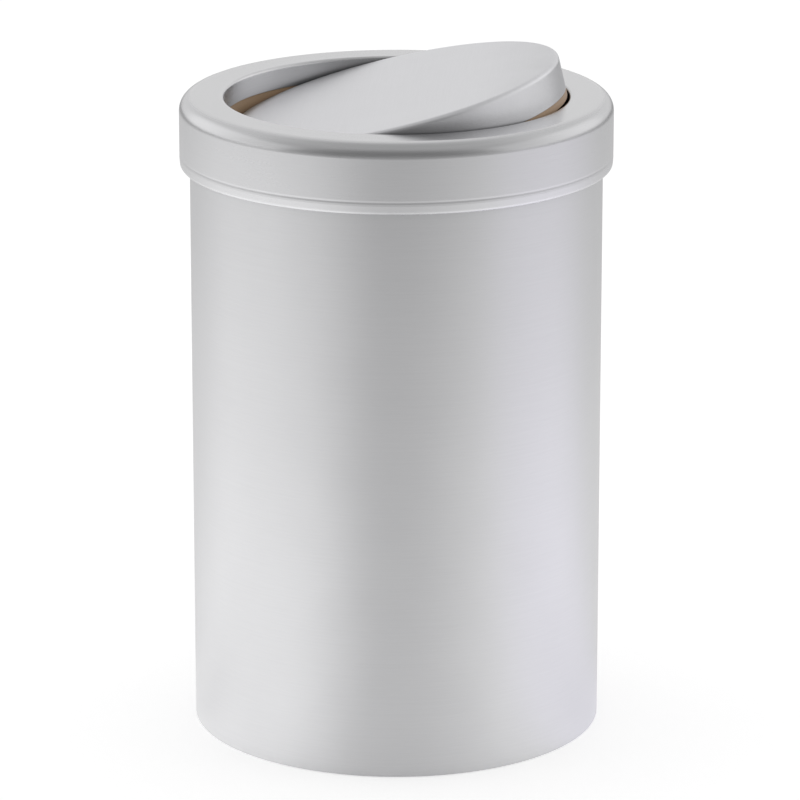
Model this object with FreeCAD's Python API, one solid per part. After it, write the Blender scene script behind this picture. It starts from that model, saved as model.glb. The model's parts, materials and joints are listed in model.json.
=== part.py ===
"""Round swing-lid wastebasket, in millimetres, +Z up, origin on the floor under the centre.

A satin steel tube with a curled rim carries a removable liner, and the lid sits on the liner's flange.
The liner is one moulding, made here as its bucket and its rim.
The lid is a steel collar over a moulded carrier ring.  A drum-shaped flap turns on two pins in the
carrier.  The pins lie along Y, and the flap is drawn tipped, with its +X side raised.
"""
import FreeCAD, Part

import math
import os

# Bin body
BODY_RADIUS = 125.0        # outside of the tube
TOP_HEIGHT = 392.5         # floor to the flat top of the lid
BODY_SHEET = 0.6           # steel of the tube, the base pan and the collar
BODY_STANDOFF = 0.5        # floor to the tube's lower edge
CURL_RADIUS = 2.6          # outside of the curled rim's round section
CURL_SWEEP = 235.0         # degrees that the rim is curled round
BASE_LIP = 4.0             # inward lip at the foot of the tube
FOOT_BEND = 0.9            # outside bend between the tube and its lip
SEAM_WIDTH = 8.0           # welded lap down the back
SEAM_HEIGHT = 0.3
SEAM_END_GAP = 6.0         # between the lap's ends and the tube's ends

# Base
PAN_DEPTH = 10.7           # height of the pan's flange
PAN_ROUND = 3.0
PAN_FIT = 0.05             # radial gap between the pan and the tube
RING_WIDTH = 12.0          # base ring, across its section
RING_FIT = 0.4             # radial gap between the base ring and the tube's lip
RING_STANDOFF = 1.0        # floor to the base ring
RING_WALL = 2.5
PAD_RADIUS = 4.0
PAD_SINK = 1.5             # depth of a pad's pocket
PAD_FIT = 0.05
PAD_EDGE = 0.4
SCREW_COUNT = 4
PAD_COUNT = 4
BASE_SCREW_RADIUS = 2.0
BASE_HEAD_RADIUS = 3.6
BASE_HEAD_HEIGHT = 2.2
BASE_BOSS_RADIUS = 4.2
BASE_SCREW_TAIL = 4.0      # end of the screw above the pan
SCREW_FIT = 0.1

# Screw heads, as shares of the head's or the shank's size
RECESS_WIDTH_RATIO = 0.28
RECESS_REACH_RATIO = 0.62
RECESS_DEPTH_RATIO = 0.6
HEAD_ROUND_RATIO = 0.45
SHANK_ROOT_RATIO = 0.8           # how far into the head the shank starts
POINT_LENGTH_RATIO = 0.6
POINT_TIP_RATIO = 0.5

# Liner
LINER_WALL = 1.7
LINER_FLOOR = 2.2
LINER_FIT = 1.0            # radial gap inside the curled rim
LINER_DRAFT = 1.2          # degrees
LINER_NECK = 14.0          # straight stretch under the flange
LINER_FLANGE = 2.2
LINER_FLANGE_OVERHANG = 0.8    # flange edge outside the tube
FLANGE_EDGE = 0.5
MOUTH_EDGE = 0.8
LINER_FLOOR_GAP = 9.0      # base pan to the liner
LINER_ROUND = 8.0

# Lid collar
COLLAR_OVERHANG = 6.2      # collar outside the tube
COLLAR_HEIGHT = 42.5
COLLAR_ROUND = 9.0         # outer top edge
HEM_WIDTH = 3.2            # folded lower edge
HEM_HEIGHT = 6.8
HEM_ROUND = 2.4
HEM_INNER_ROUND = 0.6
LIP_ROUND = 2.0            # edge round the throat
LIP_DEPTH = 14.0
LIP_NOTCH_GAP = 1.5        # lip's notch round a bush flange

# Lid carrier
WEB = 2.5
SEAL = 1.5
SEAL_WIDTH = 4.0
SEAL_SETBACK = 0.9         # seal from the liner's mouth
SPIGOT_FIT = 0.8           # radial gap inside the liner's mouth
SPIGOT_WALL = 2.2
CHANNEL = 6.9              # between the spigot and the throat wall
THROAT_WALL = 2.5
SKIRT_BELOW_PIVOT = 18.0
RIM_WALL = 2.0             # wall that centres the collar
RIM_DROP = 14.0            # web's top to the wall's foot
RIM_FIT = 0.2
RIB_COUNT = 12
RIB_WALL = 1.6
RIB_DEPTH = 16.0
MOULD_EDGE = 0.8           # rounding of moulded free edges
SPOT_FACE_GAP = 0.2        # round a bush's flange

# Flap, described level; its heights count from the pivot
FLAP_GAP = 1.4             # radial gap to the lip
FLAP_SHEET = 0.6
FLAP_DEPTH = 21.3
FLAP_ROUND = 3.0
FLAP_PROUD = 2.0           # flap's top above the collar's
FLAP_TOP_TO_PIVOT = 11.0
SKIN_EDGE = 0.2            # rounding of the skin's cut edge
TRAY_FIT = 0.1             # radial gap between the skin and the tray
TRAY_WALL = 1.9
TRAY_FLOOR = 2.0
TRAY_LEDGE = 4.8           # depth of the ledge under the skin's cut edge
LEDGE_SETBACK = 0.3        # ledge inside the skin's outside
LEDGE_ROUND = 0.6
TRAY_RIM_GAP = 5.0         # tray wall's top below the skin
TRAY_RIB_WALL = 1.6
TRAY_RIB_SPACING = 62.0
TRAY_RIB_CLEAR = 3.0       # rib ends from the skin's corner
BOSS_LENGTH = 15.0
BOSS_WIDTH = 14.0
BOSS_RISE = 5.5            # boss above the pin's axis
WEIGHT_LENGTH = 130.0      # along Y
WEIGHT_WIDTH = 48.0
WEIGHT_HEIGHT = 6.0
WEIGHT_CORNER = 4.0
WEIGHT_END_GAP = 2.0       # bar's end to the cross rib
WEIGHT_SCREW_SHORT = 0.5   # screw's tip below the bar's top
WEIGHT_SCREW_SPACING = 90.0
WEIGHT_SCREW_RADIUS = 2.0
WEIGHT_HEAD_RADIUS = 3.8
WEIGHT_HEAD_HEIGHT = 2.0

# Pivots and stops
PIN_RADIUS = 2.5
PIN_RUN_GAP = 0.05         # radial, pin in bush
PIN_PRESS_GAP = 0.02       # radial, pin in the tray's boss
SKIN_HOLE_GAP = 0.9        # radial, pin in the skin's hole
BUSH_WALL = 1.5
BUSH_FLANGE = 1.0
BUSH_FLANGE_RADIUS = 5.5
BUSH_PRESS_GAP = 0.02
BUSH_BOSS_WALL = 2.5
ARM_THICKNESS = 1.5
ARM_LENGTH = 13.0
ARM_HALF_WIDTH = 2.5
ARM_HUB_RADIUS = 4.5
PIN_FLAT = 1.8             # pin's axis to its flat
CLIP_THICKNESS = 0.7
CLIP_RADIUS = 4.5
GROOVE_RADIUS = 1.9
CLIP_SLOT = 3.0
SIDE_GAP = 0.15            # end play between arm, clip and bush
CLIP_PLAY = 0.05           # clip in its groove, each side
PIN_CHAMFER = 0.4
PIN_TAIL = 0.8             # pin beyond its clip
PIN_END_GAP = 1.1          # pin's end to the spigot
BUFFER_INNER = 7.0         # from the pivot to a buffer's near side
BUFFER_WIDTH = 6.0
BUFFER_LENGTH = 2.6
STOP_GAP = 0.3
SWING_LIMIT = 75.0         # each way from level
REST_TILT = 13.2           # +X side raised

# Radii, worked inwards from the tube
BODY_INNER = BODY_RADIUS - BODY_SHEET
CURL_CENTRE = BODY_RADIUS - CURL_RADIUS
LINER_OUTER = BODY_RADIUS - 2 * CURL_RADIUS - LINER_FIT
LINER_INNER = LINER_OUTER - LINER_WALL
LINER_FLANGE_RADIUS = BODY_RADIUS + LINER_FLANGE_OVERHANG
SPIGOT_OUTER = LINER_INNER - SPIGOT_FIT
SPIGOT_INNER = SPIGOT_OUTER - SPIGOT_WALL
THROAT_OUTER = SPIGOT_INNER - CHANNEL
THROAT_INNER = THROAT_OUTER - THROAT_WALL
LIP_RADIUS = THROAT_INNER - BODY_SHEET
COLLAR_RADIUS = BODY_RADIUS + COLLAR_OVERHANG
COLLAR_INNER = COLLAR_RADIUS - BODY_SHEET
FLAP_RADIUS = LIP_RADIUS - FLAP_GAP
TRAY_RADIUS = FLAP_RADIUS - FLAP_SHEET - TRAY_FIT
LEDGE_RADIUS = FLAP_RADIUS - LEDGE_SETBACK
RING_OUTER = BODY_RADIUS - BASE_LIP - RING_FIT
RING_INNER = RING_OUTER - RING_WIDTH
RING_MIDDLE = (RING_OUTER + RING_INNER) / 2

# Heights, worked down from the lid's top and up from the floor
COLLAR_UNDER = TOP_HEIGHT - BODY_SHEET
COLLAR_FOOT = TOP_HEIGHT - COLLAR_HEIGHT
WEB_UNDER = COLLAR_UNDER - WEB
FLANGE_TOP = WEB_UNDER - SEAL
BODY_TOP = FLANGE_TOP - LINER_FLANGE
PIVOT_HEIGHT = TOP_HEIGHT + FLAP_PROUD - FLAP_TOP_TO_PIVOT
SKIRT_FOOT = PIVOT_HEIGHT - SKIRT_BELOW_PIVOT
PAN_FOOT = BODY_STANDOFF + BODY_SHEET
PAN_TOP = PAN_FOOT + PAN_DEPTH
PAN_UNDER = PAN_TOP - BODY_SHEET
LINER_BASE = PAN_TOP + LINER_FLOOR_GAP
NECK_FOOT = BODY_TOP - LINER_NECK

# Flap heights above the pivot, and the pin's stations outwards from the centre
SKIN_TOP = FLAP_TOP_TO_PIVOT
SKIN_UNDER = SKIN_TOP - FLAP_SHEET
SKIN_FOOT = SKIN_TOP - FLAP_DEPTH
TRAY_FOOT = SKIN_FOOT - TRAY_LEDGE
TRAY_TOP = TRAY_FOOT + TRAY_FLOOR
BUSH_OUTER_RADIUS = PIN_RADIUS + PIN_RUN_GAP + BUSH_WALL
BUSH_BOSS_RADIUS = BUSH_OUTER_RADIUS + BUSH_BOSS_WALL
PIN_END = SPIGOT_INNER - PIN_END_GAP
CLIP_OUT = PIN_END - PIN_TAIL
CLIP_IN = CLIP_OUT - CLIP_THICKNESS
ARM_OUT = CLIP_IN - SIDE_GAP
ARM_IN = ARM_OUT - ARM_THICKNESS
BUSH_OUT = ARM_IN - SIDE_GAP
BUSH_IN = THROAT_INNER - BUSH_FLANGE
PIN_START = TRAY_RADIUS - BOSS_LENGTH

OVERCUT = 1.0              # how far cutting tools run past what they cut
TINY = 1e-6                # below this, two lengths are the same
Z_AXIS = FreeCAD.Vector(0, 0, 1)
Y_AXIS = FreeCAD.Vector(0, 1, 0)
ORIGIN = FreeCAD.Vector(0, 0, 0)


def outline(corners):
    """A closed wire in the XZ plane through (radius, height, rounding) corners."""
    points = [FreeCAD.Vector(c[0], 0, c[1]) for c in corners]
    edges, last_out, first_in = [], None, None
    for i, corner in enumerate(corners):
        here, before, after = points[i], points[i - 1], points[(i + 1) % len(points)]
        to_before, to_after = (before - here).normalize(), (after - here).normalize()
        start = end = here
        if corner[2] > 0:
            half = to_before.getAngle(to_after) / 2
            reach = corner[2] / math.tan(half)
            start, end = here + to_before * reach, here + to_after * reach
            centre = here + (to_before + to_after).normalize() * (corner[2] / math.sin(half))
            middle = centre + (here - centre).normalize() * corner[2]
            arc = Part.Arc(start, middle, end).toShape()
        if last_out is None:
            first_in = start
        elif last_out.distanceToPoint(start) > TINY:
            edges.append(Part.LineSegment(last_out, start).toShape())
        if corner[2] > 0:
            edges.append(arc)
        last_out = end
    if last_out.distanceToPoint(first_in) > TINY:
        edges.append(Part.LineSegment(last_out, first_in).toShape())
    return Part.Wire(edges)


def turned(corners, angle=360.0):
    """The solid that an outline sweeps round the Z axis."""
    return Part.Face(outline(corners)).revolve(ORIGIN, Z_AXIS, angle)


def ring(inner, outer, low, high):
    """A plain square-edged ring."""
    return turned([(inner, low, 0), (outer, low, 0), (outer, high, 0), (inner, high, 0)])


def block(x0, x1, y0, y1, z0, z1):
    """A box between two corners."""
    return Part.makeBox(x1 - x0, y1 - y0, z1 - z0, FreeCAD.Vector(x0, y0, z0))


def rod(radius, start, end, height=0.0):
    """A cylinder along +Y from start to end."""
    return Part.makeCylinder(radius, end - start, FreeCAD.Vector(0, start, height), Y_AXIS)


def post(radius, x, y, low, high):
    """An upright cylinder."""
    return Part.makeCylinder(radius, high - low, FreeCAD.Vector(x, y, low), Z_AXIS)


def around(shape, count, first=0.0):
    """Copies of a shape evenly spaced round Z."""
    copies = []
    for i in range(count):
        copy = shape.copy()
        copy.rotate(ORIGIN, Z_AXIS, first + i * 360.0 / count)
        copies.append(copy)
    return copies


def half_turn(shape):
    """A shape and its copy half a turn round Z."""
    return around(shape, 2)


def tipped(shape):
    """A part of the flap, from its level place about the pivot to its place in the lid."""
    placed = shape.copy()
    placed.rotate(ORIGIN, Y_AXIS, -REST_TILT)
    placed.translate(FreeCAD.Vector(0, 0, PIVOT_HEIGHT))
    return placed


# ---------------------------------------------------------------- bin body

def body_shell():
    """Tube with an inward lip at its foot, a curled rim and a welded lap at the back."""
    curl_height = BODY_TOP - CURL_RADIUS
    lip_radius = BODY_RADIUS - BASE_LIP
    lip_top = BODY_STANDOFF + BODY_SHEET
    tube = turned([(lip_radius, BODY_STANDOFF, 0), (BODY_RADIUS, BODY_STANDOFF, FOOT_BEND),
                   (BODY_RADIUS, curl_height, 0), (BODY_INNER, curl_height, 0),
                   (BODY_INNER, lip_top, 0), (lip_radius, lip_top, 0)])
    centre = FreeCAD.Vector(CURL_CENTRE, 0, curl_height)

    def on_curl(radius, degrees):
        angle = math.radians(degrees)
        return centre + FreeCAD.Vector(radius * math.cos(angle), 0, radius * math.sin(angle))

    outer, inner = CURL_RADIUS, CURL_RADIUS - BODY_SHEET
    section = Part.Wire([
        Part.Arc(on_curl(outer, 0), on_curl(outer, CURL_SWEEP / 2), on_curl(outer, CURL_SWEEP)).toShape(),
        Part.LineSegment(on_curl(outer, CURL_SWEEP), on_curl(inner, CURL_SWEEP)).toShape(),
        Part.Arc(on_curl(inner, CURL_SWEEP), on_curl(inner, CURL_SWEEP / 2), on_curl(inner, 0)).toShape(),
        Part.LineSegment(on_curl(inner, 0), on_curl(outer, 0)).toShape()])
    curl = Part.Face(section).revolve(ORIGIN, Z_AXIS, 360.0)
    lap = ring(BODY_RADIUS - BODY_SHEET / 2, BODY_RADIUS + SEAM_HEIGHT,
               BODY_STANDOFF + SEAM_END_GAP, curl_height - SEAM_END_GAP)
    lap = lap.common(block(-SEAM_WIDTH / 2, SEAM_WIDTH / 2, 0, BODY_RADIUS + SEAM_HEIGHT + OVERCUT,
                           0, TOP_HEIGHT))
    return tube.fuse([curl, lap]).removeSplitter()


def base_screw_places():
    """Angles of the screws, half way between the pads."""
    return [180.0 / SCREW_COUNT + i * 360.0 / SCREW_COUNT for i in range(SCREW_COUNT)]


def base_pan():
    """Pressed base, flange down on the tube's lip."""
    outer = BODY_INNER - PAN_FIT
    inner = outer - BODY_SHEET
    pan = turned([(0, PAN_UNDER, 0), (inner, PAN_UNDER, PAN_ROUND - BODY_SHEET), (inner, PAN_FOOT, 0),
                  (outer, PAN_FOOT, 0), (outer, PAN_TOP, PAN_ROUND), (0, PAN_TOP, 0)])
    hole = post(BASE_SCREW_RADIUS + SCREW_FIT, RING_MIDDLE, 0, PAN_UNDER - OVERCUT, PAN_TOP + OVERCUT)
    return pan.cut(around(hole, SCREW_COUNT, base_screw_places()[0]))


def base_ring():
    """Moulded channel under the pan, with bosses for its screws and pockets for its pads."""
    web_top = RING_STANDOFF + RING_WALL
    body = turned([(RING_INNER, RING_STANDOFF, MOULD_EDGE), (RING_OUTER, RING_STANDOFF, MOULD_EDGE),
                   (RING_OUTER, PAN_UNDER, 0), (RING_OUTER - RING_WALL, PAN_UNDER, 0),
                   (RING_OUTER - RING_WALL, web_top, 0), (RING_INNER + RING_WALL, web_top, 0),
                   (RING_INNER + RING_WALL, PAN_UNDER, 0), (RING_INNER, PAN_UNDER, 0)])
    angle = base_screw_places()[0]
    boss = post(BASE_BOSS_RADIUS, RING_MIDDLE, 0, RING_STANDOFF + RING_WALL / 2, PAN_UNDER)
    bore = post(BASE_SCREW_RADIUS + SCREW_FIT, RING_MIDDLE, 0, 0, PAN_UNDER + OVERCUT)
    seat = post(BASE_HEAD_RADIUS + SCREW_FIT, RING_MIDDLE, 0, 0, RING_STANDOFF + BASE_HEAD_HEIGHT)
    pocket = post(PAD_RADIUS + PAD_FIT, RING_MIDDLE, 0, 0, RING_STANDOFF + PAD_SINK)
    made = body.fuse(around(boss, SCREW_COUNT, angle))
    made = made.cut(around(bore, SCREW_COUNT, angle) + around(seat, SCREW_COUNT, angle))
    return made.cut(around(pocket, PAD_COUNT)).removeSplitter()


def foot_pads():
    """Rubber pads that the bin stands on."""
    pad = post(PAD_RADIUS, RING_MIDDLE, 0, 0, RING_STANDOFF + PAD_SINK)
    foot_edge = [e for e in pad.Edges if e.BoundBox.ZMax < TINY]
    return Part.Compound(around(pad.makeFillet(PAD_EDGE, foot_edge), PAD_COUNT))


def cross_slot(radius, low, depth):
    """A cutter for a cross recess, as deep as depth above low."""
    width, reach = radius * RECESS_WIDTH_RATIO, radius * RECESS_REACH_RATIO
    bar = block(-reach, reach, -width / 2, width / 2, low - OVERCUT, low + depth)
    other = bar.copy()
    other.rotate(ORIGIN, Z_AXIS, 90)
    return bar.fuse(other)


def screw(radius, head_radius, head_low, head_height, tip):
    """A pan-head screw, head down, with a cross recess."""
    head = post(head_radius, 0, 0, head_low, head_low + head_height)
    rim = [e for e in head.Edges if e.BoundBox.ZMax < head_low + TINY]
    head = head.makeFillet(head_height * HEAD_ROUND_RATIO, rim)
    head = head.cut(cross_slot(head_radius, head_low, head_height * RECESS_DEPTH_RATIO))
    point = radius * POINT_LENGTH_RATIO
    shank = post(radius, 0, 0, head_low + head_height * SHANK_ROOT_RATIO, tip - point)
    cone = Part.makeCone(radius, radius * POINT_TIP_RATIO, point, FreeCAD.Vector(0, 0, tip - point))
    return head.fuse([shank, cone]).removeSplitter()


def base_screws():
    """Screws up through the base ring into the pan."""
    one = screw(BASE_SCREW_RADIUS, BASE_HEAD_RADIUS, RING_STANDOFF, BASE_HEAD_HEIGHT,
                PAN_TOP + BASE_SCREW_TAIL)
    one.translate(FreeCAD.Vector(RING_MIDDLE, 0, 0))
    return Part.Compound(around(one, SCREW_COUNT, base_screw_places()[0]))


# ---------------------------------------------------------------- liner

def liner_bucket():
    """Drafted wall and floor of the liner, up to its rim."""
    floor_top = LINER_BASE + LINER_FLOOR
    base_outer = LINER_OUTER - (NECK_FOOT - LINER_BASE) * math.tan(math.radians(LINER_DRAFT))
    base_inner = base_outer - LINER_WALL
    return turned([
        (0, LINER_BASE, 0), (base_outer, LINER_BASE, LINER_ROUND), (LINER_OUTER, NECK_FOOT, 0),
        (LINER_INNER, NECK_FOOT, 0), (base_inner, floor_top, LINER_ROUND - LINER_WALL), (0, floor_top, 0)])


def liner_rim():
    """Straight neck of the liner and the flange it hangs by, which stands out past the tube."""
    return turned([
        (LINER_INNER, NECK_FOOT, 0), (LINER_OUTER, NECK_FOOT, 0), (LINER_OUTER, BODY_TOP, 0),
        (LINER_FLANGE_RADIUS, BODY_TOP, FLANGE_EDGE), (LINER_FLANGE_RADIUS, FLANGE_TOP, FLANGE_EDGE),
        (LINER_INNER, FLANGE_TOP, MOUTH_EDGE)])


# ---------------------------------------------------------------- lid

def lid_collar():
    """Spun steel collar: hemmed skirt, rounded shoulder, flat top and a lip turned down into the throat."""
    hem_inner = COLLAR_RADIUS - HEM_WIDTH
    hem_top = COLLAR_FOOT + HEM_HEIGHT
    inner_lip = LIP_RADIUS + BODY_SHEET
    shell = turned([
        (hem_inner, COLLAR_FOOT, HEM_INNER_ROUND), (COLLAR_RADIUS, COLLAR_FOOT, HEM_ROUND),
        (COLLAR_RADIUS, TOP_HEIGHT, COLLAR_ROUND), (LIP_RADIUS, TOP_HEIGHT, LIP_ROUND),
        (LIP_RADIUS, TOP_HEIGHT - LIP_DEPTH, 0), (inner_lip, TOP_HEIGHT - LIP_DEPTH, 0),
        (inner_lip, COLLAR_UNDER, LIP_ROUND - BODY_SHEET),
        (COLLAR_INNER, COLLAR_UNDER, COLLAR_ROUND - BODY_SHEET),
        (COLLAR_INNER, hem_top, 0), (hem_inner, hem_top, 0)])
    half = BUSH_FLANGE_RADIUS + LIP_NOTCH_GAP
    near = LIP_RADIUS - OVERCUT
    notch_head = rod(half, near, THROAT_OUTER, PIVOT_HEIGHT)
    notch_foot = block(-half, half, near, THROAT_OUTER, TOP_HEIGHT - LIP_DEPTH - OVERCUT, PIVOT_HEIGHT)
    return shell.cut(half_turn(notch_head) + half_turn(notch_foot)).removeSplitter()


def lid_carrier():
    """Moulded ring: a web on the seal, a spigot in the liner's mouth and the wall of the throat."""
    shoulder = COLLAR_ROUND - BODY_SHEET
    rim_outer = COLLAR_INNER - RIM_FIT
    rim_inner = rim_outer - RIM_WALL
    rim_foot = COLLAR_UNDER - RIM_DROP
    body = turned([
        (THROAT_INNER, SKIRT_FOOT, MOULD_EDGE), (THROAT_OUTER, SKIRT_FOOT, MOULD_EDGE),
        (THROAT_OUTER, WEB_UNDER, 0), (SPIGOT_INNER, WEB_UNDER, 0), (SPIGOT_INNER, SKIRT_FOOT, MOULD_EDGE),
        (SPIGOT_OUTER, SKIRT_FOOT, MOULD_EDGE), (SPIGOT_OUTER, WEB_UNDER, 0),
        (rim_inner, WEB_UNDER, shoulder - RIM_WALL), (rim_inner, rim_foot, 0), (rim_outer, rim_foot, 0),
        (rim_outer, COLLAR_UNDER, shoulder), (THROAT_INNER, COLLAR_UNDER, LIP_ROUND)])
    rib = block(THROAT_OUTER - THROAT_WALL / 2, SPIGOT_INNER + SPIGOT_WALL / 2, -RIB_WALL / 2, RIB_WALL / 2,
                WEB_UNDER - RIB_DEPTH, WEB_UNDER + WEB / 2)
    boss = rod(BUSH_BOSS_RADIUS, THROAT_INNER + THROAT_WALL / 2, BUSH_OUT, PIVOT_HEIGHT)
    bore = rod(BUSH_OUTER_RADIUS + BUSH_PRESS_GAP, THROAT_INNER - OVERCUT, BUSH_OUT + OVERCUT, PIVOT_HEIGHT)
    spot_face = rod(BUSH_FLANGE_RADIUS + SPOT_FACE_GAP, THROAT_INNER - OVERCUT, THROAT_INNER, PIVOT_HEIGHT)
    ribs = around(rib, RIB_COUNT, 180.0 / RIB_COUNT)
    made = body.fuse(ribs + half_turn(boss))
    return made.cut(half_turn(bore) + half_turn(spot_face)).removeSplitter()


def lid_seal():
    """Flat soft ring between the carrier's web and the liner's flange."""
    inner = LINER_INNER + SEAL_SETBACK
    return ring(inner, inner + SEAL_WIDTH, FLANGE_TOP, WEB_UNDER)


def pivot_bush():
    """Flanged bush for the pin on the +Y side."""
    bush = rod(BUSH_OUTER_RADIUS, THROAT_INNER, BUSH_OUT, PIVOT_HEIGHT)
    bush = bush.fuse(rod(BUSH_FLANGE_RADIUS, BUSH_IN, THROAT_INNER, PIVOT_HEIGHT))
    bore = rod(PIN_RADIUS + PIN_RUN_GAP, BUSH_IN - OVERCUT, BUSH_OUT + OVERCUT, PIVOT_HEIGHT)
    return bush.cut(bore).removeSplitter()


def stop_buffers():
    """Two rubber blocks under the web, which the arm meets at each end of the swing."""
    limit = math.radians(SWING_LIMIT)
    low = (ARM_HALF_WIDTH - BUFFER_INNER * math.cos(limit)) / math.sin(limit) + STOP_GAP
    middle = (ARM_IN + ARM_OUT) / 2
    one = block(BUFFER_INNER, BUFFER_INNER + BUFFER_WIDTH, middle - BUFFER_LENGTH / 2,
                middle + BUFFER_LENGTH / 2, PIVOT_HEIGHT + low, WEB_UNDER)
    return Part.Compound([one, one.mirror(ORIGIN, FreeCAD.Vector(1, 0, 0))])


# ---------------------------------------------------------------- flap, level about the pivot

def weight_screw_sites(shape):
    """Copies of a shape at the two screws of the counterweight."""
    near, far = shape.copy(), shape.copy()
    near.translate(FreeCAD.Vector(0, -WEIGHT_SCREW_SPACING / 2, 0))
    far.translate(FreeCAD.Vector(0, WEIGHT_SCREW_SPACING / 2, 0))
    return [near, far]


def flap_skin():
    """Drawn steel drum, open below."""
    inner = FLAP_RADIUS - FLAP_SHEET
    skin = turned([
        (0, SKIN_UNDER, 0), (inner, SKIN_UNDER, FLAP_ROUND - FLAP_SHEET), (inner, SKIN_FOOT, 0),
        (FLAP_RADIUS, SKIN_FOOT, SKIN_EDGE), (FLAP_RADIUS, SKIN_TOP, FLAP_ROUND), (0, SKIN_TOP, 0)])
    hole = rod(PIN_RADIUS + SKIN_HOLE_GAP, inner - OVERCUT, FLAP_RADIUS + OVERCUT)
    return tipped(skin.cut(half_turn(hole)))


def flap_tray():
    """Moulded tray that closes the drum: a ledge under the skin's edge, ribs and bosses for the pins."""
    wall_top = SKIN_UNDER - TRAY_RIM_GAP
    tray = turned([(0, TRAY_FOOT, 0), (LEDGE_RADIUS, TRAY_FOOT, LEDGE_ROUND), (LEDGE_RADIUS, SKIN_FOOT, 0),
                   (TRAY_RADIUS, SKIN_FOOT, 0), (TRAY_RADIUS, wall_top, 0),
                   (TRAY_RADIUS - TRAY_WALL, wall_top, 0), (TRAY_RADIUS - TRAY_WALL, TRAY_TOP, 0),
                   (0, TRAY_TOP, 0)])
    inside = post(TRAY_RADIUS - TRAY_WALL / 2, 0, 0, TRAY_FOOT + TRAY_FLOOR / 2, SKIN_UNDER)
    inside = inside.cut(ring(TRAY_RADIUS - TRAY_RIB_CLEAR, TRAY_RADIUS, wall_top, SKIN_UNDER + OVERCUT))
    half_rib = TRAY_RIB_WALL / 2
    cross = WEIGHT_LENGTH / 2 + WEIGHT_END_GAP + half_rib
    ribs = []
    for side in (-1, 1):
        place = side * TRAY_RIB_SPACING / 2
        ribs.append(block(place - half_rib, place + half_rib, -TRAY_RADIUS, TRAY_RADIUS,
                          TRAY_FOOT, SKIN_UNDER))
        place = side * cross
        ribs.append(block(-TRAY_RADIUS, TRAY_RADIUS, place - half_rib, place + half_rib,
                          TRAY_FOOT, SKIN_UNDER))
    ribs = [rib.common(inside) for rib in ribs]
    boss = block(-BOSS_WIDTH / 2, BOSS_WIDTH / 2, PIN_START, TRAY_RADIUS - TRAY_WALL / 2,
                 TRAY_FOOT, BOSS_RISE)
    bore = rod(PIN_RADIUS + PIN_PRESS_GAP, PIN_START - OVERCUT, TRAY_RADIUS + OVERCUT)
    hole = post(WEIGHT_SCREW_RADIUS + SCREW_FIT, 0, 0, TRAY_FOOT - OVERCUT, TRAY_TOP + OVERCUT)
    made = tray.fuse(ribs + half_turn(boss)).cut(half_turn(bore) + weight_screw_sites(hole))
    return tipped(made.removeSplitter())


def counterweight():
    """Steel bar low in the tray that brings the flap back level."""
    bar = block(-WEIGHT_WIDTH / 2, WEIGHT_WIDTH / 2, -WEIGHT_LENGTH / 2, WEIGHT_LENGTH / 2,
                TRAY_TOP, TRAY_TOP + WEIGHT_HEIGHT)
    upright = [e for e in bar.Edges if e.BoundBox.ZLength > WEIGHT_HEIGHT / 2]
    bar = bar.makeFillet(WEIGHT_CORNER, upright)
    bar_top = TRAY_TOP + WEIGHT_HEIGHT
    hole = post(WEIGHT_SCREW_RADIUS + PIN_PRESS_GAP, 0, 0, TRAY_TOP - OVERCUT, bar_top + OVERCUT)
    return tipped(bar.cut(weight_screw_sites(hole)))


def counterweight_screws():
    """Two screws up through the tray's floor into the bar."""
    one = screw(WEIGHT_SCREW_RADIUS, WEIGHT_HEAD_RADIUS, TRAY_FOOT - WEIGHT_HEAD_HEIGHT, WEIGHT_HEAD_HEIGHT,
                TRAY_TOP + WEIGHT_HEIGHT - WEIGHT_SCREW_SHORT)
    return tipped(Part.Compound(weight_screw_sites(one)))


def pivot_pin():
    """Pin on the +Y side, with a flat for the stop arm and a groove for its clip."""
    pin = rod(PIN_RADIUS, PIN_START, PIN_END)
    ends = [e for e in pin.Edges if e.BoundBox.YLength < TINY]
    pin = pin.makeChamfer(PIN_CHAMFER, ends)
    flat = block(-PIN_RADIUS - OVERCUT, PIN_RADIUS + OVERCUT, ARM_IN - SIDE_GAP, PIN_END + OVERCUT,
                 PIN_FLAT, PIN_RADIUS + OVERCUT)
    groove = rod(PIN_RADIUS + OVERCUT, CLIP_IN, CLIP_OUT).cut(rod(GROOVE_RADIUS, PIN_START, PIN_END))
    return pin.cut([flat, groove])


def pin_clip():
    """E-clip in the groove of the pin on the +Y side, open upwards."""
    clip = rod(CLIP_RADIUS, CLIP_IN + CLIP_PLAY, CLIP_OUT - CLIP_PLAY)
    clip = clip.cut(rod(GROOVE_RADIUS + PIN_PRESS_GAP, CLIP_IN - OVERCUT, CLIP_OUT + OVERCUT))
    half = CLIP_SLOT / 2
    mouth = block(-half, half, CLIP_IN - OVERCUT, CLIP_OUT + OVERCUT, 0, CLIP_RADIUS + OVERCUT)
    return clip.cut(mouth)


def stop_arm():
    """Arm keyed to the rear pin, hanging down when the flap is level."""
    arm = rod(ARM_HUB_RADIUS, ARM_IN, ARM_OUT)
    tip = ARM_LENGTH - ARM_HALF_WIDTH
    arm = arm.fuse([block(-ARM_HALF_WIDTH, ARM_HALF_WIDTH, ARM_IN, ARM_OUT, -tip, 0),
                    rod(ARM_HALF_WIDTH, ARM_IN, ARM_OUT, -tip)])
    key = rod(PIN_RADIUS + PIN_PRESS_GAP, ARM_IN - OVERCUT, ARM_OUT + OVERCUT)
    key = key.cut(block(-ARM_HUB_RADIUS, ARM_HUB_RADIUS, ARM_IN - OVERCUT, ARM_OUT + OVERCUT,
                        PIN_FLAT + PIN_PRESS_GAP, ARM_HUB_RADIUS))
    return tipped(arm.cut(key).removeSplitter())


def front_of(shape):
    """The +Y side's piece turned to the -Y side."""
    copy = shape.copy()
    copy.rotate(ORIGIN, Z_AXIS, 180)
    return copy


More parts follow.
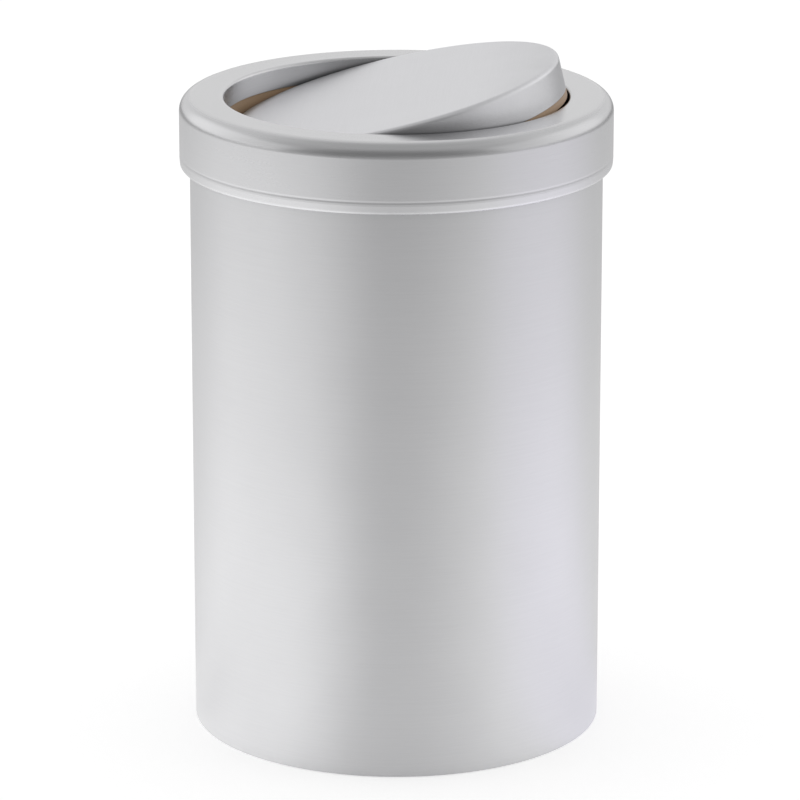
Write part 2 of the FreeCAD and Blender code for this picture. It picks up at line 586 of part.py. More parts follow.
NODES = {
    "body_shell": body_shell,
    "base_pan": base_pan,
    "base_ring": base_ring,
    "base_screws": base_screws,
    "foot_pads": foot_pads,
    "liner_bucket": liner_bucket,
    "liner_rim": liner_rim,
    "lid_collar": lid_collar,
    "lid_carrier": lid_carrier,
    "lid_seal": lid_seal,
    "pivot_bush_rear": pivot_bush,
    "pivot_bush_front": lambda: front_of(pivot_bush()),
    "stop_buffers": stop_buffers,
    "flap_skin": flap_skin,
    "flap_tray": flap_tray,
    "counterweight": counterweight,
    "counterweight_screws": counterweight_screws,
    "pivot_pin_rear": lambda: tipped(pivot_pin()),
    "pivot_pin_front": lambda: tipped(front_of(pivot_pin())),
    "pin_clip_rear": lambda: tipped(pin_clip()),
    "pin_clip_front": lambda: tipped(front_of(pin_clip())),
    "stop_arm": stop_arm,
}


def main():
    os.makedirs("parts", exist_ok=True)
    for name, make in NODES.items():
        shape = make()
        if not shape.isValid():
            raise RuntimeError(name + " is not a valid shape")
        shape.exportStep(os.path.join("parts", name + ".step"))
        print(name, len(shape.Solids), "solids", round(shape.Volume / 1000, 2), "cm3")


main()
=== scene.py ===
"""Swing-lid wastebasket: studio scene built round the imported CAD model, in metres, +Z up."""
import json
import math

import bmesh
import bpy
from mathutils import Matrix, Vector


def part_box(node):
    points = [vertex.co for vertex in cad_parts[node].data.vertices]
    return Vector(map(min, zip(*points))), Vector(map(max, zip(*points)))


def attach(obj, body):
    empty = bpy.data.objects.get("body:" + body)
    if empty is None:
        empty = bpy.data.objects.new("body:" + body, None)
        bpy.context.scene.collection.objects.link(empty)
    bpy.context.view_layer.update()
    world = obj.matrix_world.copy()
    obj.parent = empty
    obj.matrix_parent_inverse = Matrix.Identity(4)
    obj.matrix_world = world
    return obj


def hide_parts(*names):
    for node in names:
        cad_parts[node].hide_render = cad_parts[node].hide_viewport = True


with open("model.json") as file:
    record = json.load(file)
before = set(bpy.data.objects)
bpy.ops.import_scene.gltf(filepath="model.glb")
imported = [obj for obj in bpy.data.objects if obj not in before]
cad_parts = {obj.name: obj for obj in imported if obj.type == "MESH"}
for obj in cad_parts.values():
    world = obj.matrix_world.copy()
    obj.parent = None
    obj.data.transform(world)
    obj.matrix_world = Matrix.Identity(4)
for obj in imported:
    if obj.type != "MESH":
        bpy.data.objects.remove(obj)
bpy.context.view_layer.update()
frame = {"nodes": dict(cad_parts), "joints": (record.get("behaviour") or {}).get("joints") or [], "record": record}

RECORD = frame["record"]
NODES = frame["nodes"]
MM = 0.001


def inner_radius(node):
    """Smallest distance of a node's vertices from the Z axis."""
    return min(math.hypot(v.co.x, v.co.y) for v in NODES[node].data.vertices)


# ------------------------------------------------------------ sizes, from the frame where it gives them

BODY_LOW, BODY_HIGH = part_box("body_shell")
COLLAR_LOW, COLLAR_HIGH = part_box("lid_collar")
BUCKET_LOW, BUCKET_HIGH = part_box("liner_bucket")
RIM_LOW, RIM_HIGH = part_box("liner_rim")

TUBE_RADIUS = BODY_HIGH.x
TUBE_FOOT, TUBE_TOP = BODY_LOW.z, BODY_HIGH.z
COLLAR_RADIUS = COLLAR_HIGH.x
COLLAR_FOOT, COLLAR_TOP = COLLAR_LOW.z, COLLAR_HIGH.z
THROAT_RADIUS = inner_radius("lid_collar")
SHEET = 0.6 * MM           # thickness of the steel
CURL = 2.6 * MM            # outer radius of the tube's curled rim
FLAP_RADIUS = 102.4 * MM
FLAP_TOP = 11.0 * MM       # above the pivot, with the flap level
FLAP_FOOT = FLAP_TOP - 21.3 * MM

SWING = next(joint for joint in frame["joints"] if joint["name"] == "flap_swing")
PIVOT = Vector(SWING["pos_m"])
TILT = math.radians(sum(SWING["range_deg"]) / 2)   # the stored flap from level, about +Y


# ------------------------------------------------------------ making pieces

ARC_STEP = math.radians(9)
AROUND = 288            # sides of a turned piece
ROD_SIDES = 64
GUARD = 0.25 * MM       # loop beside each rounding, which keeps flats looking flat
ON_AXIS = 1e-7
SHARP = math.radians(32)


def linked(name, data):
    """A new object with this data, in the scene."""
    made = bpy.data.objects.new(name, data)
    bpy.context.scene.collection.objects.link(made)
    return made


def meshed(name, shape):
    """A new mesh object from a bmesh, which is freed."""
    mesh = bpy.data.meshes.new(name)
    shape.to_mesh(mesh)
    shape.free()
    return linked(name, mesh)


def aimed(made, place, target):
    """Put a camera or a lamp at a place, looking at a target."""
    made.location = place
    made.rotation_mode = "QUATERNION"
    made.rotation_quaternion = (Vector(target) - Vector(place)).to_track_quat("-Z", "Y")


def arc(centre, radius, start, end, steps):
    """Points on an arc in the (radius, height) plane, from one angle to another in degrees."""
    angles = [math.radians(start + (end - start) * k / steps) for k in range(steps + 1)]
    return [Vector(centre) + radius * Vector((math.cos(angle), math.sin(angle))) for angle in angles]


def rounded(corners):
    """Closed path of (radius, height) points through corners of (radius, height, rounding)."""
    path = []
    for i, (radius, height, bend) in enumerate(corners):
        here = Vector((radius, height))
        before = Vector(corners[i - 1][:2]) - here
        after = Vector(corners[(i + 1) % len(corners)][:2]) - here
        if bend <= 0:
            path.append(here)
            continue
        back, on = before.normalized(), after.normalized()
        half = back.angle(on) / 2
        inset = bend / math.tan(half)
        centre = here + (back + on).normalized() * (bend / math.sin(half))
        start, end = here + back * inset, here + on * inset
        if before.length > inset * 2 + GUARD * 2:
            path.append(start + back * GUARD)
        first, last = start - centre, end - centre
        turn = first.angle_signed(last)
        steps = max(3, round(abs(turn) / ARC_STEP))
        for k in range(steps + 1):
            path.append(centre + Matrix.Rotation(-turn * k / steps, 2) @ first)
        if after.length > inset * 2 + GUARD * 2:
            path.append(end + on * GUARD)
    return path


def turned(name, path):
    """A closed solid swept round the Z axis from a path of (radius, height) points."""
    shape = bmesh.new()
    loops = []
    for radius, height in path:
        count = 1 if radius < ON_AXIS else AROUND
        angles = [2 * math.pi * k / AROUND for k in range(count)]
        loops.append([shape.verts.new((radius * math.cos(angle), radius * math.sin(angle), height))
                      for angle in angles])
    for i, low in enumerate(loops):
        high = loops[(i + 1) % len(loops)]
        if len(low) == 1 and len(high) == 1:
            continue
        for k in range(AROUND):
            ring = [low[k % len(low)], low[(k + 1) % len(low)],
                    high[(k + 1) % len(high)], high[k % len(high)]]
            shape.faces.new(list(dict.fromkeys(ring)))
    bmesh.ops.recalc_face_normals(shape, faces=shape.faces)
    return meshed(name, shape)


def rod(name, radius, start, end, centre_z):
    """A closed cylinder along Y."""
    shape = bmesh.new()
    bmesh.ops.create_cone(shape, cap_ends=True, segments=ROD_SIDES, radius1=radius, radius2=radius,
                          depth=abs(end - start))
    middle = Matrix.Translation((0, (start + end) / 2, centre_z))
    shape.transform(middle @ Matrix.Rotation(math.pi / 2, 4, "X"))
    return meshed(name, shape)


def block(name, low, high, edge=0.0):
    """A box between two corners, its edges softened when asked."""
    shape = bmesh.new()
    bmesh.ops.create_cube(shape, size=1.0)
    low, high = Vector(low), Vector(high)
    shape.transform(Matrix.Translation((low + high) / 2) @ Matrix.Diagonal((*(high - low), 1)))
    if edge:
        bmesh.ops.bevel(shape, geom=shape.edges[:], offset=edge, segments=2, affect="EDGES",
                        profile=0.5)
    return meshed(name, shape)


def combine(target, tools, operation):
    """Cut tools out of a piece or add them to it, and drop the tools."""
    for tool in tools:
        change = target.modifiers.new("change", "BOOLEAN")
        change.operation = operation
        change.solver = "EXACT"
        change.object = tool
    bpy.context.view_layer.update()
    done = bpy.data.meshes.new_from_object(
        target.evaluated_get(bpy.context.evaluated_depsgraph_get()))
    target.modifiers.clear()
    target.data = done
    for tool in tools:
        bpy.data.objects.remove(tool)


def finished(made, body, slot, node):
    """Smooth the piece, give it its look, and let it take its node's place on its body."""
    for face in made.data.polygons:
        face.use_smooth = True
    made.data.set_sharp_from_angle(angle=SHARP)
    made.data.materials.clear()
    made.data.materials.append(LOOKS[slot])
    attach(made, body)
    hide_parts(node)


# ------------------------------------------------------------ shader nodes

NOISE_LOW, NOISE_HIGH = 0.3, 0.7    # a noise mostly keeps between these


class Graph:
    """The node tree of a material or world, with short calls for what is used again and again."""

    def __init__(self, owner, output="ShaderNodeOutputMaterial"):
        owner.use_nodes = True
        self.tree = owner.node_tree
        self.tree.nodes.clear()
        self.out = self.tree.nodes.new(output)

    def node(self, kind, settings=None, **inputs):
        """A new node. An input's spaces are written as underscores."""
        made = self.tree.nodes.new(kind)
        for key, value in (settings or {}).items():
            setattr(made, key, value)
        for key, value in inputs.items():
            self.put(made, key.replace("_", " "), value)
        return made

    def put(self, made, key, value):
        """Link a socket to a node's input, or set the input to a plain value."""
        if isinstance(value, bpy.types.NodeSocket):
            self.tree.links.new(value, made.inputs[key])
        else:
            made.inputs[key].default_value = value

    def finish(self, shader):
        self.put(self.out, 0, shader.outputs[0])

    def math(self, operation, a, b=0.0):
        made = self.node("ShaderNodeMath", {"operation": operation})
        self.put(made, 0, a)
        self.put(made, 1, b)
        return made.outputs[0]

    def plus(self, a, b):
        return self.math("ADD", a, b)

    def minus(self, a, b):
        return self.math("SUBTRACT", a, b)

    def times(self, a, b):
        return self.math("MULTIPLY", a, b)

    def larger(self, a, b):
        return self.math("MAXIMUM", a, b)

    def distance(self, a, b):
        """The length whose parts at right angles are a and b."""
        return self.math("SQRT", self.plus(self.times(a, a), self.times(b, b)))

    def span(self, value, low, high, to=(0.0, 1.0)):
        """A value's range from low to high, carried smoothly onto another range."""
        made = self.node("ShaderNodeMapRange", {"interpolation_type": "SMOOTHSTEP"}, Value=value,
                         From_Min=low, From_Max=high, To_Min=to[0], To_Max=to[1])
        return made.outputs[0]

    def noise(self, place, scale, detail, rough):
        made = self.node("ShaderNodeTexNoise", Vector=place, Scale=scale, Detail=detail,
                         Roughness=rough)
        return made.outputs["Fac"]

    def spread(self, noise, low, high):
        """A noise spread so that it mostly fills the range from low to high."""
        return self.span(noise, NOISE_LOW, NOISE_HIGH, to=(low, high))

    def tint(self, factor, dark, light):
        """A colour between two, by a factor from 0 to 1."""
        made = self.node("ShaderNodeMix", {"data_type": "RGBA"}, Factor=factor, A=(*dark, 1),
                         B=(*light, 1))
        return made.outputs["Result"]

    def scaled(self, colour, factor):
        """A colour multiplied by a number."""
        made = self.node("ShaderNodeVectorMath", {"operation": "SCALE"}, Scale=factor)
        self.put(made, 0, colour)
        return made.outputs[0]

    def place(self, kind="Object"):
        return self.node("ShaderNodeTexCoord").outputs[kind]

    def parts(self, place):
        return self.node("ShaderNodeSeparateXYZ", Vector=place).outputs

    def vector(self, x, y, z):
        return self.node("ShaderNodeCombineXYZ", X=x, Y=y, Z=z).outputs[0]


# ------------------------------------------------------------ looks

BUMP_DISTANCE = 0.1 * MM
GRAIN_BUMP, SPARK_BUMP = 0.012, 0.25
RUN = 0.02              # share of a length along the grain that its noise sees
RISE = 0.5              # share of a height that straight grain sees
SCUFF_RISE = 6.0        # how many times wider than high a scuff is
FINE_SHARE = 0.55       # share of the fine lines in the grain, the rest being coarse
STEEL_SHADES, MOULDED_SHADES = (0.975, 1.02), (0.95, 1.05)   # darkest and lightest drift of a colour
GRAIN_ROUGH, CLOUD_ROUGH, SPARK_ROUGH = 0.02, 0.012, 0.05    # roughness that each adds or takes
SMEAR_ROUGH = (-0.006, 0.01)
SCUFF_ROUGH = (0.0, 0.08)
FLAT_FADE = (1.0 * MM, 0.1 * MM)   # depths under a flat between which its smoothness and painted highlight come in
OPENNESS = (0.35, 0.95)            # ambient occlusion values in full painted shade and on open metal
QUARTER_TURN = 0.25
FLAT_SHEEN = 0.07    # how much smoother the top flat is, and how much lighter its paint is as a painted highlight
WEAR = 0.05             # how much smoother and lighter a worn edge is
WEAR_PATCHES = (0.5, 1.0)     # share of that wear, from the least to the most worn patch
RAISED_END_SHADE = 0.13       # painted shade: how much darker the flap's raised end is
RAISED_END_PATCHES = (0.75, 1.0)    # share of that painted shade, from the lightest to the darkest patch
SHADED_FROM, SHADED_TO = 45 * MM, 100 * MM   # along X, towards the raised end


def shades(colour, factors):
    """A darker and a lighter shade of a colour."""
    return [tuple(min(c * factor, 1.0) for c in colour) for factor in factors]


def worn_rings(graph, place, rings):
    """How worn a point is: 1 on a ring of (radius, height, width), fading to 0 at its width."""
    x, y, z = graph.parts(place)
    radius = graph.distance(x, y)
    worn = 0.0
    for ring_radius, height, width in rings:
        away = graph.distance(graph.minus(radius, ring_radius), graph.minus(z, height))
        worn = graph.larger(worn, graph.span(away, 0.0, width, to=(1.0, 0.0)))
    patches = graph.noise(place, scale=160, detail=4.0, rough=0.6)
    return graph.times(worn, graph.span(patches, 0.35, 0.65, to=WEAR_PATCHES))


def levelled(graph, place):
    """The place a point of the flap would have if the flap lay level."""
    made = graph.node("ShaderNodeVectorRotate", {"rotation_type": "AXIS_ANGLE"}, Vector=place,
                      Center=PIVOT, Axis=(0.0, 1.0, 0.0), Angle=-TILT)
    return made.outputs[0]


def grain(graph, place, spun):
    """Fine lines, drawn out round the Z axis if spun, or else along Y."""
    x, y, z = graph.parts(place)
    if spun:
        across = graph.minus(graph.distance(x, y), z)
        lie = graph.vector(graph.times(x, RUN), graph.times(y, RUN), across)
    else:
        lie = graph.vector(x, graph.times(y, RUN), graph.times(z, RISE))
    fine = graph.noise(lie, scale=5200, detail=3.0, rough=0.6)
    coarse = graph.noise(lie, scale=900, detail=4.0, rough=0.6)
    return graph.plus(graph.times(fine, FINE_SHARE), graph.times(coarse, 1 - FINE_SHARE))


def polish_and_sheen(graph, paint, shine, share, amount):
    """Paint and roughness made lighter and smoother by an amount, where share is 1."""
    change = graph.times(share, amount)
    return graph.scaled(paint, graph.plus(1.0, change)), graph.minus(shine, change)


def steel(name, colour, rough, spun=False, stretch=0.0, painted_shade=None, flat=None, rings=(), is_flap=False):
    """Satin steel, its grain round the axis if spun.

    Painted shade of (amount, depth) darkens the paint in hollows of that depth, as ambient occlusion finds
    them. The flat at height flat is smoother, with its paint lighter as a painted highlight, and each worn ring
    is polished. Flap steel has painted shade on its raised end, and its rings are given as if it lay level.
    """
    material = bpy.data.materials.new(name)
    graph = Graph(material)
    place = graph.place()
    x, _, z = graph.parts(place)
    lines = grain(graph, place, spun)
    cloud = graph.noise(place, scale=9, detail=3.0, rough=0.5)
    smear = graph.noise(place, scale=34, detail=5.0, rough=0.6)
    paint = graph.tint(graph.spread(lines, 0.0, 1.0), *shades(colour, STEEL_SHADES))
    drift = graph.plus(graph.spread(cloud, -CLOUD_ROUGH, CLOUD_ROUGH),
                       graph.span(smear, 0.35, 0.75, to=SMEAR_ROUGH))
    shine = graph.plus(graph.spread(lines, rough - GRAIN_ROUGH, rough + GRAIN_ROUGH), drift)
    # the top flat: smoother, with its paint lighter as a painted highlight
    if flat is not None:
        on_flat = graph.span(z, *(flat - depth for depth in FLAT_FADE))
        paint, shine = polish_and_sheen(graph, paint, shine, on_flat, FLAT_SHEEN)
    if rings:
        worn = worn_rings(graph, levelled(graph, place) if is_flap else place, rings)
        paint, shine = polish_and_sheen(graph, paint, shine, worn, WEAR)
    # painted shade: the flap's raised end darkened in patches
    if is_flap:
        end_darkening = graph.times(graph.span(x, SHADED_FROM, SHADED_TO), graph.spread(smear, *RAISED_END_PATCHES))
        paint = graph.scaled(paint, graph.minus(1.0, graph.times(end_darkening, RAISED_END_SHADE)))
    # painted shade: ambient occlusion darkens the paint in hollows and where other parts come close
    if painted_shade:
        amount, depth = painted_shade
        hollow = graph.node("ShaderNodeAmbientOcclusion", {"samples": 8}, Distance=depth)
        paint = graph.scaled(paint, graph.span(hollow.outputs["AO"], *OPENNESS, to=(1.0 - amount, 1.0)))
    bump = graph.node("ShaderNodeBump", Height=lines, Strength=GRAIN_BUMP, Distance=BUMP_DISTANCE)
    shader = graph.node("ShaderNodeBsdfPrincipled", Base_Color=paint, Metallic=1.0, Roughness=shine,
                        Anisotropic=stretch, Normal=bump.outputs[0])
    if spun:
        tangent = graph.node("ShaderNodeTangent", {"direction_type": "RADIAL", "axis": "Z"})
        graph.put(shader, "Tangent", tangent.outputs[0])
        graph.put(shader, "Anisotropic Rotation", QUARTER_TURN)
    graph.finish(shader)
    return material


def moulded(name, colour, rough, gloss=0.5, spark=2600):
    """Moulded plastic or rubber with a spark texture of this scale and soft colour drift."""
    material = bpy.data.materials.new(name)
    graph = Graph(material)
    place = graph.place()
    x, y, z = graph.parts(place)
    fine = graph.noise(place, scale=spark, detail=2.0, rough=0.5)
    drift = graph.noise(place, scale=22, detail=4.0, rough=0.55)
    scuff = graph.noise(graph.vector(x, y, graph.times(z, SCUFF_RISE)), scale=60, detail=6.0, rough=0.7)
    paint = graph.tint(graph.spread(drift, 0.0, 1.0), *shades(colour, MOULDED_SHADES))
    shine = graph.plus(graph.spread(fine, rough - SPARK_ROUGH, rough + SPARK_ROUGH),
                       graph.span(scuff, 0.5, 0.8, to=SCUFF_ROUGH))
    bump = graph.node("ShaderNodeBump", Height=fine, Strength=SPARK_BUMP, Distance=BUMP_DISTANCE)
    shader = graph.node("ShaderNodeBsdfPrincipled", Base_Color=paint, Roughness=shine,
                        Specular_IOR_Level=gloss, Normal=bump.outputs[0])
    graph.finish(shader)
    return material


# amount and depth of painted shade where parts come close: tube at collar and floor, throat, flap skirt
STEELS = {
    "satin_steel_body": {
        "colour": (0.66, 0.66, 0.67), "rough": 0.34, "spun": True, "stretch": 0.55,
        "painted_shade": (0.15, 8 * MM),
        "rings": ((TUBE_RADIUS, TUBE_FOOT, 5 * MM), (TUBE_RADIUS - CURL, TUBE_TOP, 4 * MM))},
    "satin_steel_lid": {
        "colour": (0.665, 0.665, 0.675), "rough": 0.29, "spun": True, "stretch": 0.15,
        "painted_shade": (0.4, 6 * MM), "flat": COLLAR_TOP,
        "rings": ((COLLAR_RADIUS, COLLAR_FOOT, 3.5 * MM), (THROAT_RADIUS, COLLAR_TOP, 3.5 * MM))},
    "satin_steel_flap": {
        "colour": (0.83, 0.83, 0.85), "rough": 0.38, "painted_shade": (0.62, 15 * MM), "is_flap": True,
        "rings": ((FLAP_RADIUS, PIVOT.z + FLAP_TOP, 4 * MM), (FLAP_RADIUS, PIVOT.z + FLAP_FOOT, 3 * MM))},
    "pressed_steel": {"colour": (0.55, 0.55, 0.56), "rough": 0.38, "stretch": 0.2},
    "zinc_screw": {"colour": (0.60, 0.61, 0.62), "rough": 0.28},
    "bright_pin": {"colour": (0.65, 0.65, 0.66), "rough": 0.2},
    "spring_steel": {"colour": (0.30, 0.30, 0.31), "rough": 0.35},
}
MOULDINGS = {
    "black_moulding": {"colour": (0.035, 0.035, 0.038), "rough": 0.55},
    "liner_moulding": {"colour": (0.34, 0.25, 0.17), "rough": 0.5},
    "tan_moulding": {"colour": (0.47, 0.32, 0.20), "rough": 0.45},
    "acetal": {"colour": (0.75, 0.74, 0.70), "rough": 0.32},
    "foot_rubber": {"colour": (0.03, 0.03, 0.03), "rough": 0.7, "gloss": 0.3},
    "seal_rubber": {"colour": (0.10, 0.10, 0.10), "rough": 0.65, "gloss": 0.3},
    "buffer_rubber": {"colour": (0.05, 0.05, 0.05), "rough": 0.65, "gloss": 0.3},
    "black_bar": {"colour": (0.04, 0.04, 0.042), "rough": 0.4, "spark": 900},
}
LOOKS = {name: steel(name, **look) for name, look in STEELS.items()}
LOOKS.update({name: moulded(name, **look) for name, look in MOULDINGS.items()})

for subpart in RECORD["subparts"]:
    for slot in NODES[subpart["node"]].material_slots:
        slot.material = LOOKS[subpart["material_slot"]]


# ------------------------------------------------------------ pieces in place of the CAD's own

def tube():
    """Tube with an inward lip, a bend at its foot, a curled rim and a welded lap down the back."""
    lip_reach = 4.0 * MM
    bend, bend_steps = 0.9 * MM, 8
    wall_steps = 12
    curl_degrees, curl_steps = 235, 30
    lap_half, lap_root, lap_edge = 4 * MM, 0.3 * MM, 0.12 * MM
    lap_gap = 6 * MM       # from the lap's ends to the foot and to the curl

    lip = TUBE_RADIUS - lip_reach
    lip_top = TUBE_FOOT + SHEET
    curl_foot = TUBE_TOP - CURL
    curl_centre = (TUBE_RADIUS - CURL, curl_foot)
    path = [Vector((lip, TUBE_FOOT)), Vector((lip + GUARD, TUBE_FOOT))]
    path += arc((TUBE_RADIUS - bend, TUBE_FOOT + bend), bend, -90, 0, bend_steps)
    path.append(Vector((TUBE_RADIUS, TUBE_FOOT + bend + GUARD)))
    path += [Vector((TUBE_RADIUS, TUBE_FOOT + (curl_foot - TUBE_FOOT) * k / wall_steps))
             for k in range(1, wall_steps)]
    path += arc(curl_centre, CURL, 0, curl_degrees, curl_steps)
    path += arc(curl_centre, CURL - SHEET, curl_degrees, 0, curl_steps)
    path += [Vector((TUBE_RADIUS - SHEET, lip_top)), Vector((lip, lip_top))]
    made = turned("satin_tube", path)
    lap = block("lap", (-lap_half, TUBE_RADIUS - lap_root, TUBE_FOOT + lap_gap),
                (lap_half, BODY_HIGH.y, curl_foot - lap_gap), lap_edge)
    combine(made, [lap], "UNION")
    finished(made, "bin", "satin_steel_body", "body_shell")


def collar():
    """Spun collar: folded hem with its bead, shoulder, flat top and the lip down into the throat."""
    hem, hem_height, hem_lean, hem_bend = 3.2 * MM, 6.8 * MM, 0.35 * MM, 2 * MM
    lean_height, lean_bend = 5.4 * MM, 3 * MM
    bead_height, bead_half, bead_depth = 7.6 * MM, 1.1 * MM, 0.07 * MM
    bead_bend, bead_side_bend = 0.8 * MM, 0.5 * MM
    shoulder, throat_bend, under_bend = 9 * MM, 2 * MM, 1.4 * MM
    lip_depth, lip_edge = 14 * MM, 0.15 * MM
    hem_edge, fold_edge = 0.6 * MM, 0.2 * MM
    notch, notch_inside, notch_outside = 7 * MM, 1 * MM, 2.4 * MM

    hem_top = COLLAR_FOOT + hem_height
    bead = COLLAR_FOOT + bead_height
    lip_foot = COLLAR_TOP - lip_depth
    lip_back = THROAT_RADIUS + SHEET
    under = COLLAR_TOP - SHEET
    made = turned("spun_collar", rounded([
        (COLLAR_RADIUS - hem, COLLAR_FOOT, hem_edge),
        (COLLAR_RADIUS - hem_lean, COLLAR_FOOT, hem_bend),
        (COLLAR_RADIUS, COLLAR_FOOT + lean_height, lean_bend),
        (COLLAR_RADIUS, bead - bead_half, bead_side_bend),
        (COLLAR_RADIUS - bead_depth, bead, bead_bend),
        (COLLAR_RADIUS, bead + bead_half, bead_side_bend),
        (COLLAR_RADIUS, COLLAR_TOP, shoulder),
        (THROAT_RADIUS, COLLAR_TOP, throat_bend),
        (THROAT_RADIUS, lip_foot, lip_edge),
        (lip_back, lip_foot, lip_edge),
        (lip_back, under, under_bend),
        (COLLAR_RADIUS - SHEET, under, shoulder - SHEET),
        (COLLAR_RADIUS - SHEET, hem_top, 0),
        (COLLAR_RADIUS - hem, hem_top, fold_edge)]))
    tools = []
    for side in (-1, 1):
        near, far = side * (THROAT_RADIUS - notch_inside), side * (lip_back + notch_outside)
        tools.append(rod("notch", notch, near, far, PIVOT.z))
        tools.append(block("notch", (-notch, min(near, far), lip_foot - notch_inside),
                           (notch, max(near, far), PIVOT.z)))
    combine(made, tools, "DIFFERENCE")
    finished(made, "lid", "satin_steel_lid", "lid_collar")


def flap():
    """Drawn drum of the flap, built level at its pivot, with a hole for each pin."""
    edge, crown, crown_steps = 3.0 * MM, 0.12 * MM, 14
    foot_inside, foot_outside = 0.1 * MM, 0.2 * MM
    pin_hole, hole_spare = 3.4 * MM, 1 * MM

    inner = FLAP_RADIUS - SHEET
    under = FLAP_TOP - SHEET
    brim = FLAP_TOP - crown
    path = rounded([
        (0, under, 0), (inner, under, edge - SHEET), (inner, FLAP_FOOT, foot_inside),
        (FLAP_RADIUS, FLAP_FOOT, foot_outside), (FLAP_RADIUS, brim, edge), (0, brim, 0)])[1:-1]
    flat = FLAP_RADIUS - edge - GUARD
    for k in range(1, crown_steps + 1):
        share = 1 - k / crown_steps
        path.append(Vector((flat * share, FLAP_TOP - crown * share ** 2)))
    path += [Vector((flat * k / crown_steps, under)) for k in range(crown_steps)]
    made = turned("drum_flap", path)
    holes = [rod("pin_hole", pin_hole, side * (inner - hole_spare), side * (FLAP_RADIUS + hole_spare), 0)
             for side in (-1, 1)]
    combine(made, holes, "DIFFERENCE")
    made.data.transform(Matrix.Translation(PIVOT) @ Matrix.Rotation(TILT, 4, "Y"))
    finished(made, "flap", "satin_steel_flap", "flap_skin")


def liner():
    """Drafted bucket of the liner and, above it, its neck and flange."""
    wall, draft = 1.7 * MM, math.radians(1.2)
    base_thickness, base_bend = 2.2 * MM, 8 * MM
    flange_thickness, flange_edge = 2.2 * MM, 0.5 * MM
    mouth_edge, flange_root = 0.8 * MM, 0.1 * MM

    bottom, neck, top = BUCKET_LOW.z, RIM_LOW.z, RIM_HIGH.z
    outer = BUCKET_HIGH.x
    inner = outer - wall
    base = outer - (neck - bottom) * math.tan(draft)
    base_top = bottom + base_thickness
    made = turned("liner_bucket_wall", rounded([
        (0, bottom, 0), (base, bottom, base_bend), (outer, neck, 0), (inner, neck, 0),
        (base - wall, base_top, base_bend - wall), (0, base_top, 0)]))
    finished(made, "liner", "liner_moulding", "liner_bucket")
    flange = top - flange_thickness
    made = turned("liner_rim_flange", rounded([
        (inner, neck, 0), (outer, neck, 0), (outer, flange, flange_root),
        (RIM_HIGH.x, flange, flange_edge), (RIM_HIGH.x, top, flange_edge), (inner, top, mouth_edge)]))
    finished(made, "liner", "liner_moulding", "liner_rim")


tube()
collar()
flap()
liner()


# ------------------------------------------------------------ camera

CAMERA_RANGE = 3.001
CAMERA_HEIGHT = 1.0826
CAMERA_AZIMUTH = math.radians(3.0)
CAMERA_AIM = (0.0, 0.0, 0.2001)
SENSOR_WIDTH = 36.0
LENS = 229.4
SHIFT_X = 0.0045

lens = bpy.data.cameras.new("camera")
lens.sensor_width = SENSOR_WIDTH
lens.lens = LENS
lens.shift_x = SHIFT_X
camera = linked("camera", lens)
aimed(camera, (CAMERA_RANGE * math.sin(CAMERA_AZIMUTH), -CAMERA_RANGE * math.cos(CAMERA_AZIMUTH),
               CAMERA_HEIGHT), CAMERA_AIM)
bpy.context.scene.camera = camera


# ------------------------------------------------------------ lamps

LAMP_WIDTH, LAMP_HEIGHT = 3.0, 1.4
LAMP_AIM = (0, 0, 0.2)
LAMPS = (("side_left", (-1.7, 0.2, 0.9), 4), ("side_right", (1.7, 0.2, 0.9), 3))   # name, place, watts

for name, place, watts in LAMPS:
    lamp = bpy.data.lights.new(name, "AREA")
    lamp.shape = "RECTANGLE"
    lamp.size, lamp.size_y = LAMP_WIDTH, LAMP_HEIGHT
    lamp.energy = watts
    aimed(linked(name, lamp), place, LAMP_AIM)


# ------------------------------------------------------------ floor

FLOOR_HALF = 12.0
FLOOR_TONE = 0.8
FLOOR_LIFT = 0.5        # glow that only the camera sees, which makes the ground white
FAR_SHADE = 0.45        # how much darker the metal sees the far floor

# radii between which each sets in or fades out
FOOT_FADE, NEAR_FADE, FIELD_FADE, FAR_FADE = (0.14, 0.42), (0.25, 1.5), (1.5, 3.5), (1.3, 3.5)

# glow that only the metal sees
FIELD_GLOW = 0.14       # all round
NEAR_GLOW = 0.17        # more near the part
SIDE_GLOW = 0.36        # more at the sides
SIDE_NEAR_GLOW = 0.08   # more at the sides near the part
FOOT_SHADE = (0.02, 0.18)   # taken from the sides' glow round the part's foot: in front, and behind
LEFT_LEAN = 0.25        # brings the side glow further round at the left, and less far at the right
COOL = (0.99, 0.97, 1.08)   # tint at the right


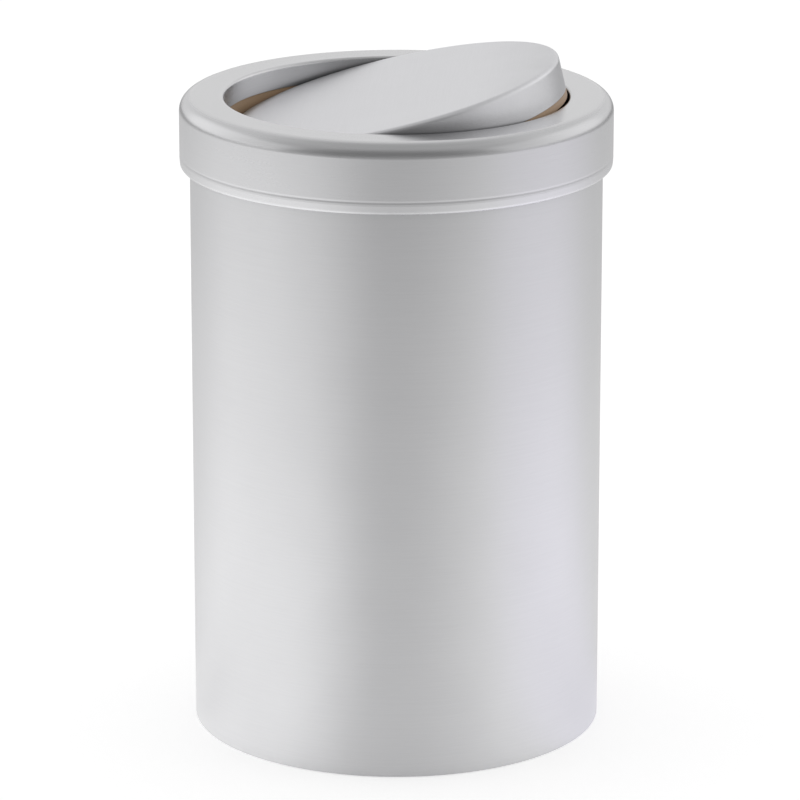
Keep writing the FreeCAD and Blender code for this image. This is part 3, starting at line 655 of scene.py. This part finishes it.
def floor():
    """Pale floor that keeps the shadow. Its glow on the metal is soft all round and strong at the sides.

    Bearing goes from -1 at the left to 1 at the right, and rearward from -1 in front to 1 behind.
    """
    half = FLOOR_HALF
    mesh = bpy.data.meshes.new("floor")
    corners = [(-half, -half, 0), (half, -half, 0), (half, half, 0), (-half, half, 0)]
    mesh.from_pydata(corners, [], [(0, 1, 2, 3)])
    material = bpy.data.materials.new("floor_paint")
    graph = Graph(material)
    rays = graph.node("ShaderNodeLightPath").outputs
    x, y = graph.parts(graph.place())[:2]
    radius = graph.distance(x, y)
    bearing = graph.math("DIVIDE", x, radius)
    rearward = graph.math("DIVIDE", y, radius)
    lean = graph.minus(graph.math("ABSOLUTE", bearing), graph.times(bearing, LEFT_LEAN))

    near = graph.span(radius, *NEAR_FADE, to=(1.0, 0.0))
    foot = graph.times(graph.span(radius, *FOOT_FADE, to=(1.0, 0.0)),
                       graph.span(rearward, -0.5, 0.0, to=FOOT_SHADE))
    side_level = graph.minus(graph.plus(SIDE_GLOW, graph.times(near, SIDE_NEAR_GLOW)), foot)
    field = graph.span(radius, *FIELD_FADE, to=(1.0, 0.0))
    reached = graph.times(graph.span(rearward, 0.05, 0.9, to=(1.0, 0.15)), field)
    sides = graph.times(graph.times(graph.span(lean, 0.05, 0.95), reached), side_level)
    plain = graph.plus(graph.times(field, FIELD_GLOW), graph.times(near, NEAR_GLOW))
    shine = graph.plus(plain, sides)

    far = graph.times(graph.span(radius, *FAR_FADE, to=(0.0, FAR_SHADE)), rays["Is Glossy Ray"])
    tone = graph.times(graph.minus(1.0, far), FLOOR_TONE)
    grey = graph.node("ShaderNodeCombineColor", Red=tone, Green=tone, Blue=tone)
    strength = graph.plus(graph.times(rays["Is Camera Ray"], FLOOR_LIFT),
                          graph.times(rays["Is Glossy Ray"], shine))
    cool = graph.times(graph.span(bearing, 0.7, 1.0), rays["Is Glossy Ray"])
    diffuse = graph.node("ShaderNodeBsdfDiffuse", Color=grey.outputs[0])
    glow = graph.node("ShaderNodeEmission", Color=graph.tint(cool, (1, 1, 1), COOL), Strength=strength)
    both = graph.node("ShaderNodeAddShader")
    graph.put(both, 0, diffuse.outputs[0])
    graph.put(both, 1, glow.outputs[0])
    graph.finish(both)
    mesh.materials.append(material)
    linked("floor", mesh)


floor()


# ------------------------------------------------------------ world

DIFFUSE_LEVEL = 0.8
MIRROR_SHADE = 0.72     # how much darker the metal sees the front of the studio
OVERHEAD_LOW, OVERHEAD_HIGH = 0.1, 0.5   # shares of that shade in two bands of the ceiling
BESIDE = 0.55           # share of it towards the sides


def studio():
    """White to the camera and even for the fill, with a shaded front and ceiling for the metal."""
    world = bpy.data.worlds.new("studio")
    bpy.context.scene.world = world
    graph = Graph(world, "ShaderNodeOutputWorld")
    y, z = graph.parts(graph.place("Generated"))[1:]
    toward = graph.times(y, -1.0)
    ahead = graph.times(graph.span(toward, 0.0, 0.85), graph.span(z, -0.2, 0.12))
    overhead = graph.plus(graph.times(graph.span(z, 0.35, 0.6), OVERHEAD_LOW),
                          graph.times(graph.span(z, 0.72, 1.0), OVERHEAD_HIGH))
    beside = graph.times(graph.times(graph.span(toward, -0.5, 0.3), graph.span(z, -0.2, 0.3)), BESIDE)
    shade = graph.larger(graph.larger(ahead, overhead), beside)
    mirror = graph.minus(1.0, graph.times(shade, MIRROR_SHADE))

    rays = graph.node("ShaderNodeLightPath").outputs
    seen = graph.larger(rays["Is Camera Ray"], rays["Is Transmission Ray"])
    fill = graph.minus(1.0, graph.larger(seen, rays["Is Glossy Ray"]))
    level = graph.plus(graph.plus(seen, graph.times(fill, DIFFUSE_LEVEL)),
                       graph.times(rays["Is Glossy Ray"], mirror))
    graph.finish(graph.node("ShaderNodeBackground", Strength=level))


studio()
bpy.context.scene.view_settings.view_transform = "Standard"
